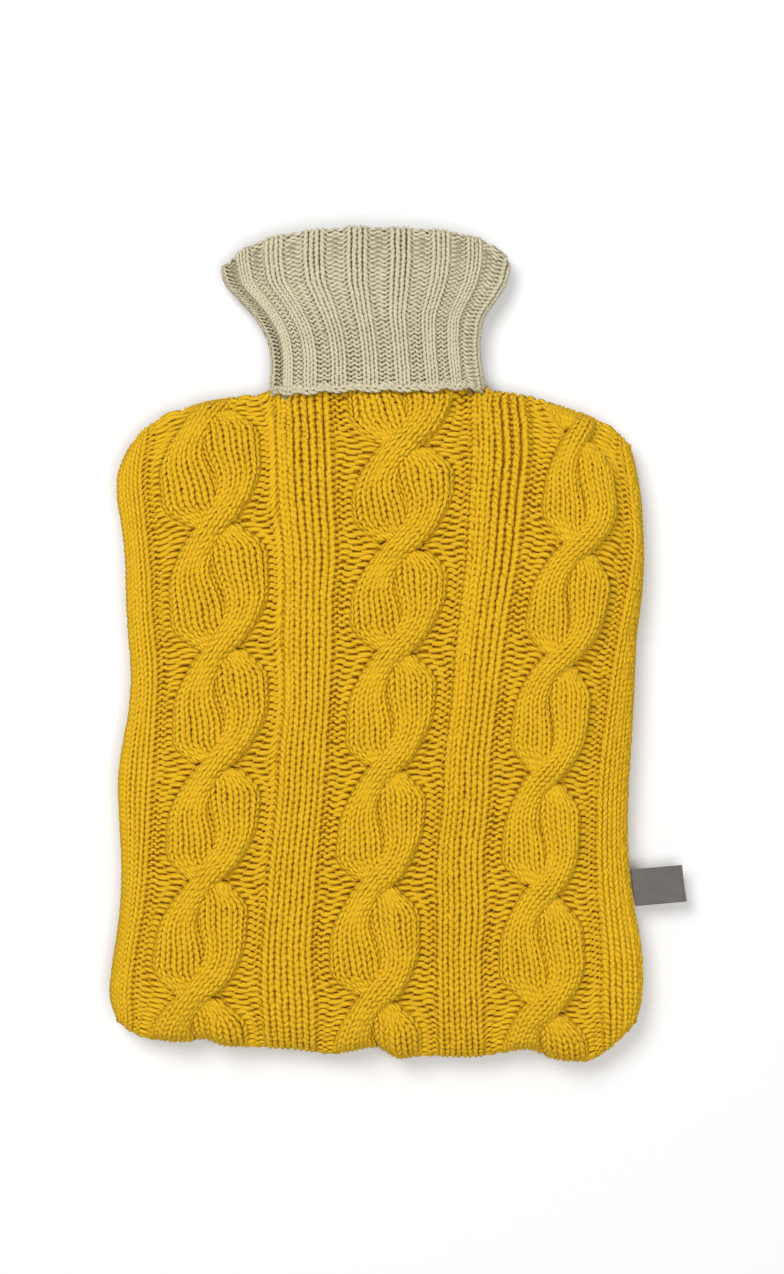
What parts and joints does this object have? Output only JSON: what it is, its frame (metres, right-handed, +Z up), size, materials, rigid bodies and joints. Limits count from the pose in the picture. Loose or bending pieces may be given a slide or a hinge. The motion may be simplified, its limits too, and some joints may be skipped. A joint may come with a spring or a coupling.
{
  "type": "hot water bottle cover",
  "caption": "Cable-knit bag for a hot water bottle, lying flat, with rope cables, flat ribs and a wide ribbed collar folded over at the neck.",
  "frame": {"origin": "on the surface under the middle of the cover's bounding box", "axes": "+X to the right as seen from above, +Y from the bottom edge to the neck, +Z up out of the front panel"},
  "size_m": [0.2424, 0.35, 0.0339],
  "materials": {
    "mustard_knit": "soft knitted yarn, matt",
    "cream_rib": "fine rib knit, matt",
    "grey_tape": "woven tape, slight sheen"
  },
  "bodies": {
    "root": {"front_panel": "mustard_knit", "back_panel": "mustard_knit", "neck_collar": "cream_rib", "side_label": "grey_tape"}
  },
  "joints": []
}
